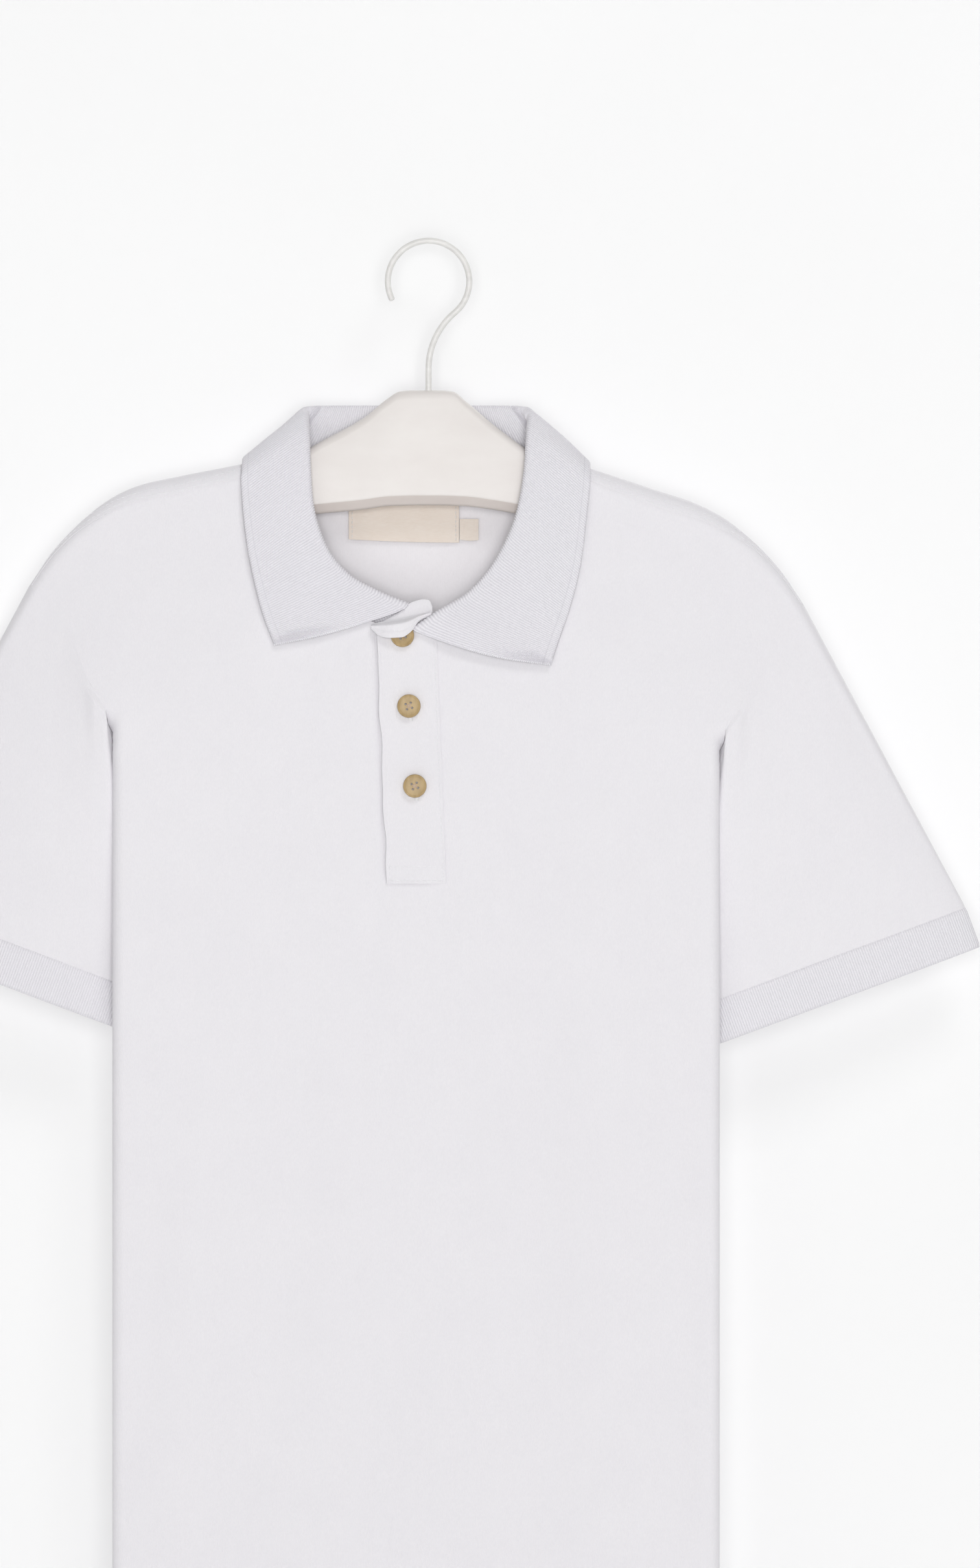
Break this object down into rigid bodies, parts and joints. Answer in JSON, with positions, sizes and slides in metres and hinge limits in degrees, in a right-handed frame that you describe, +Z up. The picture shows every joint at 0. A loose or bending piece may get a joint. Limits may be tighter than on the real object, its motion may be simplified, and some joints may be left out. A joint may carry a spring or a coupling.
{
  "type": "polo shirt on a hanger",
  "caption": "Short-sleeved knit polo shirt with rib collar and cuffs and a buttoned placket, hanging open and hollow on a plain hanger with a wire hook.",
  "frame": {"origin": "the point inside the top of the hook's loop that rests on a rail", "axes": "+X to the wearer's left, +Y from the front to the back, +Z up"},
  "size_m": [0.5536, 0.048, 0.79],
  "materials": {
    "jersey": "fine matte jersey",
    "rib": "rib knit",
    "satin": "woven satin",
    "button": "pearly gloss",
    "hanger_body": "satin paint",
    "wire": "satin"
  },
  "bodies": {
    "root": {"front_panel": "jersey", "back_panel": "jersey", "sleeve_left": "jersey", "sleeve_right": "jersey", "placket_under": "jersey", "placket_top": "jersey", "placket_neck_fold": "jersey", "cuff_left": "rib", "cuff_right": "rib", "collar": "rib", "button_1": "button", "button_2": "button", "button_3": "button", "neck_label": "satin", "size_tab": "satin", "hanger": "hanger_body", "hook": "wire"}
  },
  "joints": []
}
